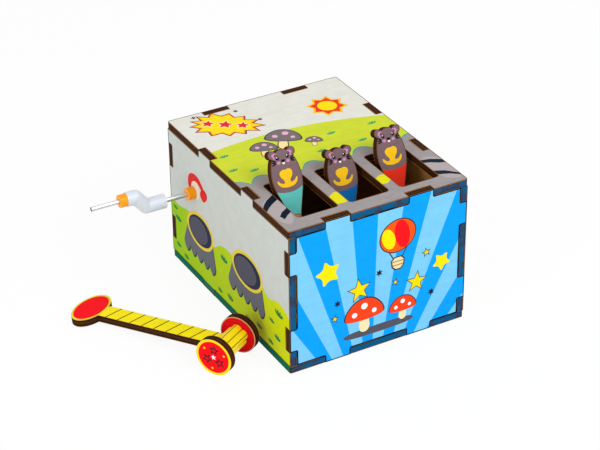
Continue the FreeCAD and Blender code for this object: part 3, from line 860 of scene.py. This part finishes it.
pivot = Vector((0, 54.0, 70.2))
seat_along_lever = 89.7
seat_below_middle = 16.6
mole_lean = math.radians(25.3)
mole_x = (-31.0, 0.0, 29.0)
lever_droop = (-2.1, 3.0, 0.6)
trousers = ("62c6bf", "0f70b8", "f2351f")
mole_body = ("left_mole", "middle_mole", "right_mole")
black, pink = "151013", "d68bb8"
for lane in range(3):
    droop = math.radians(lever_droop[lane])
    tip = droop - mole_lean
    up = Vector((0, -math.sin(tip), math.cos(tip)))
    out = Vector((0, -math.cos(tip), -math.sin(tip)))
    seat = pivot + Vector((
        mole_x[lane],
        -seat_along_lever * math.cos(droop),
        -seat_along_lever * math.sin(droop),
    ))
    middle = seat + up * seat_below_middle

    def mole_print(tree, flat, lane=lane):
        """Grey-brown fur above an egg-shaped edge, plain colour below it: the edge is
        v = hem_height - hem_drop (1 - (u/hem_half)^2)^0.5."""
        hem_height, hem_drop, hem_half, soft = -3.3, 4.1, 9.0, 0.1
        axes = add(tree, "ShaderNodeSeparateXYZ", None, {0: flat})
        u = add(tree, "ShaderNodeMath", "DIVIDE", {0: axes.outputs[0], 1: hem_half})
        square = add(tree, "ShaderNodeMath", "MULTIPLY", {0: u, 1: u})
        rest = add(tree, "ShaderNodeMath", {"operation": "SUBTRACT", "use_clamp": True}, {0: 1.0, 1: square})
        root = add(tree, "ShaderNodeMath", "SQRT", {0: rest})
        hem = add(tree, "ShaderNodeMath", "MULTIPLY_ADD", {0: root, 1: -hem_drop, 2: hem_height})
        above = add(tree, "ShaderNodeMath", "SUBTRACT", {0: axes.outputs[2], 1: hem})
        fur = add(tree, "ShaderNodeMapRange", None, {0: above, 1: -soft, 2: soft})
        nap = add(
            tree, "ShaderNodeTexNoise", None, {"Vector": flat, "Scale": 0.9, "Detail": 6.0, "Roughness": 0.7}
        )
        coat = add(tree, "ShaderNodeMix", blend, {0: nap, 6: linear("6a5256"), 7: linear("8f767a")})
        return add(tree, "ShaderNodeMix", blend, {0: fur, 6: linear(trousers[lane]), 7: coat})

    node = "mole_%d" % (lane + 1)
    place = (middle * MM, (tip, 0, 0))
    wear(
        node,
        plywood(
            "birch plywood, printed mole %d" % (lane + 1),
            out,
            out.dot(middle),
            mole_print,
            inner="c9a878",
            place=place,
        ),
    )
    belly = [
        (-1.5, 5.3), (0.0, 5.0), (1.5, 5.5), (3.5, 4.3), (3.2, 1.8), (1.5, 0.0), (1.4, -1.4), (2.8, -1.5),
        (4.3, -0.6), (5.0, 0.6), (5.6, 0.2), (5.0, -1.9), (3.2, -3.4), (0.0, -3.9), (-3.6, -3.3),
        (-5.4, -1.6), (-5.8, 0.1), (-5.1, 0.4), (-4.2, -0.9), (-2.8, -1.6), (-1.6, -1.4), (-1.8, 0.0),
        (-3.5, 1.9), (-3.7, 4.2),
    ]
    face = [
        (rounded([(-1.15, 9.1), (1.15, 9.1), (0.9, 8.2), (0, 7.4), (-0.9, 8.2)], 2), black, 3),
        (rounded([(-0.75, 7.8), (0.75, 7.8), (0.55, 6.7), (-0.55, 6.7)], 2), "ffffff", 2),
        (rounded(belly, 1) - (0, 1.1), "ffc81c", 1),
    ]
    for side in (-1, 1):
        face += [
            (ellipse((side * 4.7, 12.0), (0.85, 1.0), side * 0.6), pink, 1),
            (ellipse((side * 3.6, 12.6), (0.5, 0.55), side * 0.6), pink, 1),
            (ellipse((side * 4.6, 10.6), (0.5, 0.45)), pink, 1),
            (ellipse((side * 2.8, 10.3), (0.8, 1.0)), black, 2),
            (ellipse((side * 2.8 - 0.2, 10.7), (0.27, 0.33), count=16), "ffffff", 3),
            (ribbon(arc((side * 2.6, 10.5), 1.9, 90 - side * 62, 90 - side * 18, 8), 0.4, 0.7), black, 3.5),
            (ellipse((side * 2.6, 7.9), (0.95, 0.8)), pink, 1),
        ]
        for rise in (-1.0, 0.0, 1.0):
            whisker = np.linspace((side * 4.1, 8.4 + 0.5 * rise), (side * 6.3, 8.6 + 1.4 * rise), 8)
            face.append((ribbon(whisker, 0.7, 0.5), black, 2))
    mole_face = (mole_body[lane], "mole_print", middle, (1, 0, 0), up, out)
    print_motifs(node + "_face", face, *mole_face)
    scorch_and_highlight(node, *mole_face, 0.26, "5f3a1c")

# Mallet
# Three plywood pieces and a wooden one: a flat handle with an oval grip, a fluted barrel across its
# tip, and a disc glued on each end of the barrel. It is printed yellow and red, with charred edges.
disc_radius = 10.2
mallet_place = Vector((-72.3, -39.5, disc_radius)) * MM
mallet_bearing = math.radians(-59.8)
mallet_reach = 84.0
grip_half_length = 8.5
grip_half_width = 13.4
arm = mallet_reach + grip_half_length
mallet_pitch = math.asin(disc_radius / math.hypot(arm, sheet / 2)) - math.atan(sheet / 2 / arm)
mallet_turn = (0.0, -mallet_pitch, mallet_bearing)
spin = Quaternion((0, 0, 1), mallet_bearing) @ Quaternion((0, 1, 0), -mallet_pitch)
mallet_along = spin @ Vector((1, 0, 0))
mallet_up = spin @ Vector((0, 0, 1))
mallet_side = spin @ Vector((0, 1, 0))
red, yellow = "ff0a1a", "ffec14"


def handle_print(tree, flat):
    """Yellow bar with slanting dark lines, and a red oval with a yellow rim on the grip:
    ((x + reach)/half length)^2 + (y/half width)^2 = 1 is its outline, at any height."""
    line_pitch, line_width, slant, lines_before = 7.45, 0.75, 0.33, 20.4
    rim_edge, field_edge, soft = 1.02, 0.895, 0.01
    axes = add(tree, "ShaderNodeSeparateXYZ", None, {0: flat})
    x = add(tree, "ShaderNodeMath", "MULTIPLY_ADD", {0: axes.outputs[1], 1: -slant, 2: axes.outputs[0]})
    steps = add(tree, "ShaderNodeMath", "MULTIPLY_ADD", {0: x, 1: 1 / line_pitch, 2: lines_before})
    part = add(tree, "ShaderNodeMath", "FRACT", {0: steps})
    line = add(tree, "ShaderNodeMath", "LESS_THAN", {0: part, 1: line_width / line_pitch})
    colour = add(tree, "ShaderNodeMix", blend, {0: line, 6: linear(yellow), 7: linear("42340f")})
    round_grip = add(
        tree,
        "ShaderNodeMapping",
        {"vector_type": "TEXTURE"},
        {
            "Vector": flat,
            "Location": (-mallet_reach, 0, sheet / 2),
            "Scale": (grip_half_length, grip_half_width, 100.0),
        },
    )
    away = add(tree, "ShaderNodeVectorMath", "LENGTH", {0: round_grip})
    rim = add(tree, "ShaderNodeMapRange", None, {0: away, 1: rim_edge + soft, 2: rim_edge - soft})
    disc = add(tree, "ShaderNodeMapRange", None, {0: away, 1: field_edge + soft, 2: field_edge - soft})
    colour = add(tree, "ShaderNodeMix", blend, {0: rim, 6: colour, 7: linear("e8dd3c")})
    return add(tree, "ShaderNodeMix", blend, {0: disc, 6: colour, 7: linear(red)})


handle_outer = mallet_up.dot(mallet_place / MM + mallet_up * sheet / 2)
wear(
    "mallet_handle",
    plywood(
        "birch plywood, printed handle",
        mallet_up,
        handle_outer,
        handle_print,
        place=(mallet_place, mallet_turn),
    ),
)


def disc_print(tree, flat):
    """Red field inside a yellow rim, about the disc's own centre line."""
    field_edge, soft = 8.85, 0.1
    axes = add(tree, "ShaderNodeSeparateXYZ", None, {0: flat})
    level = add(tree, "ShaderNodeCombineXYZ", None, {0: axes.outputs[0], 2: axes.outputs[2]})
    away = add(tree, "ShaderNodeVectorMath", "LENGTH", {0: level})
    field = add(tree, "ShaderNodeMapRange", None, {0: away, 1: field_edge + soft, 2: field_edge - soft})
    return add(tree, "ShaderNodeMix", blend, {0: field, 6: linear("ffe21e"), 7: linear(red)})


head_half = 13.4
for side, node in ((-1, "mallet_front_disc"), (1, "mallet_rear_disc")):
    outer = (mallet_side * side).dot(mallet_place / MM + mallet_side * side * head_half)
    wear(
        node,
        plywood(
            "birch plywood, printed " + node.replace("_", " "),
            mallet_side * side,
            outer,
            disc_print,
            inner="e5101c",
            place=(mallet_place, mallet_turn),
        ),
    )
badge = [(star((0, 0), 1.5, 0.7, 5, 97), "ffffff", 2)]
star_ring, dot_ring = 4.1, 6.6
for t in (1.4, 3.5, 5.6):
    spot = (star_ring * math.cos(t), star_ring * math.sin(t))
    badge += [
        (star(spot, 3.0, 1.4, 5, 57 * t), "2a1c20", 0),
        (star(spot, 1.7, 0.8, 5, 57 * t), "d8141f", 1),
        (
            ellipse((dot_ring * math.cos(t + 1), dot_ring * math.sin(t + 1)), (0.6, 0.6), count=20),
            "ffd21e",
            1,
        ),
    ]
for side, name in ((-1, "front"), (1, "rear")):
    disc_middle = mallet_place / MM + mallet_side * side * head_half
    disc_face = ("mallet", "mallet_red", disc_middle, mallet_along, mallet_up, mallet_side * side)
    print_motifs("mallet_star_" + name, badge, *disc_face)

# A pale band round the rear disc's inner face: a painted highlight along its rim.
disc_inside = mallet_place / MM + mallet_side * (head_half - sheet)
inner_face = ("mallet", "mallet_red", disc_inside, mallet_along, mallet_up, -mallet_side)
scorch_and_highlight("mallet_rear_disc", *inner_face, 0.45, "d8a878")

# The barrel is turned from a short length of hardwood, fluted in five round lobes and enamelled.
# Dark lines run along each crown and in each groove, ten in all; those in the grooves are painted shade.
flutes = 5
line_edge, line_soft = 0.0625, 0.0125
barrel_yellow, tree, shader = new_material("yellow enamelled hardwood")
where = add(tree, "ShaderNodeTexCoord")
flat = add(
    tree,
    "ShaderNodeMapping",
    {"vector_type": "TEXTURE"},
    {
        "Vector": where.outputs["Object"],
        "Location": mallet_place,
        "Rotation": mallet_turn,
        "Scale": (MM, MM, MM),
    },
)
axes = add(tree, "ShaderNodeSeparateXYZ", None, {0: flat})
angle = add(tree, "ShaderNodeMath", "ARCTAN2", {0: axes.outputs[2], 1: axes.outputs[0]})
turns = add(tree, "ShaderNodeMath", "MULTIPLY_ADD", {0: angle, 1: flutes / math.pi, 2: 4.0 * flutes})
near = add(tree, "ShaderNodeMath", "FRACT", {0: turns})
off = add(tree, "ShaderNodeMath", "SUBTRACT", {0: near, 1: 0.5})
off = add(tree, "ShaderNodeMath", "ABSOLUTE", {0: off})
line = add(tree, "ShaderNodeMapRange", None, {0: off, 1: line_edge + line_soft, 2: line_edge - line_soft})
# Dark brown lines: those along the crowns are on the enamel, those in the grooves are painted shade.
enamel_and_groove_shade = add(tree, "ShaderNodeMix", blend, {0: line, 6: linear("ffe500"), 7: linear("6b4a12")})
pores = add(tree, "ShaderNodeTexNoise", None, {"Vector": flat, "Scale": 1.2, "Detail": 4.0})
bump = add(tree, "ShaderNodeBump", None, {"Height": pores, "Strength": 0.3, "Distance": 0.00008})
tree.links.new(enamel_and_groove_shade.outputs[2], shader.inputs["Base Color"])
tree.links.new(bump.outputs[0], shader.inputs["Normal"])
shader.inputs["Roughness"].default_value = 0.38
wear("mallet_barrel", barrel_yellow)
